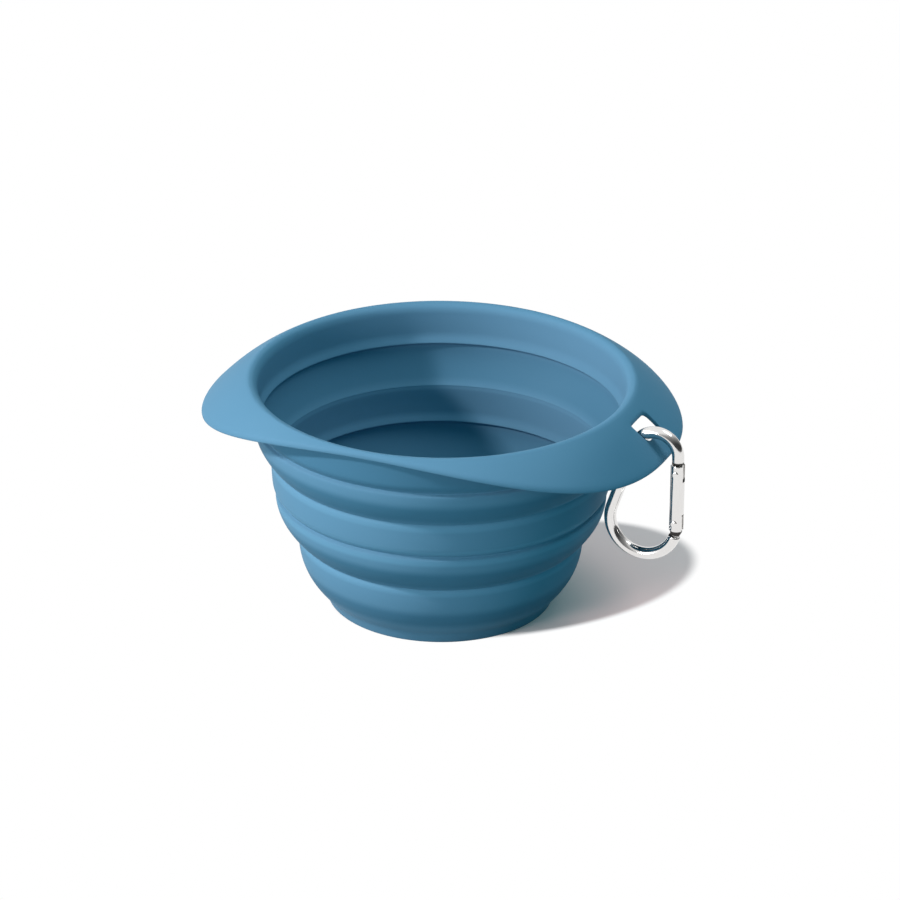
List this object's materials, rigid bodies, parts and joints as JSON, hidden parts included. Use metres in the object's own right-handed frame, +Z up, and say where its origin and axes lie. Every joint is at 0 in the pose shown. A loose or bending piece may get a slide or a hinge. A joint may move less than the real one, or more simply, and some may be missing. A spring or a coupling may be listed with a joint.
{
  "type": "collapsible bowl with carabiner",
  "caption": "Round silicone travel bowl with a stepped wall that folds flat, an oval drooping flange, and a snap carabiner hung in a slot of one ear.",
  "frame": {"origin": "centre of the flat underside that the open bowl stands on", "axes": "+Z up along the bowl's axis, +X along the two ears towards the slotted one, +Y across the ears"},
  "size_m": [0.1822, 0.1424, 0.0866],
  "materials": {
    "silicone": "smooth moulded silicone, satin",
    "polished_steel": "polished, bright",
    "spring_steel": "drawn wire and turned steel"
  },
  "bodies": {
    "rim": {"rim_flange": "silicone", "upper_ring": "silicone", "upper_fold": "silicone"},
    "middle": {"middle_ring": "silicone", "lower_fold": "silicone"},
    "base": {"base_cup": "silicone"},
    "carabiner": {"carabiner_frame": "polished_steel", "pivot_rivet": "polished_steel"},
    "gate": {"carabiner_gate": "polished_steel", "latch_rivet": "polished_steel", "gate_spring": "spring_steel"},
    "plunger": {"gate_plunger": "spring_steel"}
  },
  "joints": [
    {"name": "upper_fold_slide", "type": "slide", "parent": "rim", "child": "middle", "axis": [0, 0, 1], "range_m": [0, 0.029], "deforming": ["upper_fold"]},
    {"name": "lower_fold_slide", "type": "slide", "parent": "middle", "child": "base", "axis": [0, 0, 1], "range_m": [0, 0.03], "deforming": ["lower_fold"]},
    {"name": "carabiner_swing", "type": "hinge", "parent": "rim", "child": "carabiner", "pos_m": [0.0815, -0.003, 0.0762], "axis": [0, -1, 0], "range_deg": [-5, 75]},
    {"name": "gate_hinge", "type": "hinge", "parent": "carabiner", "child": "gate", "pos_m": [0.0922, -0.003, 0.04777], "axis": [0, -1, 0], "range_deg": [0, 20], "stiffness_Nm_per_rad": 0.05, "springref_deg": -17.19},
    {"name": "plunger_slide", "type": "slide", "parent": "gate", "child": "plunger", "axis": [0, 0, 1], "range_m": [0, 0.0006], "deforming": ["gate_spring"]}
  ],
  "couplings": [
    {"joint": "plunger_slide", "follows": "gate_hinge", "m_per_rad": 0.0017}
  ]
}
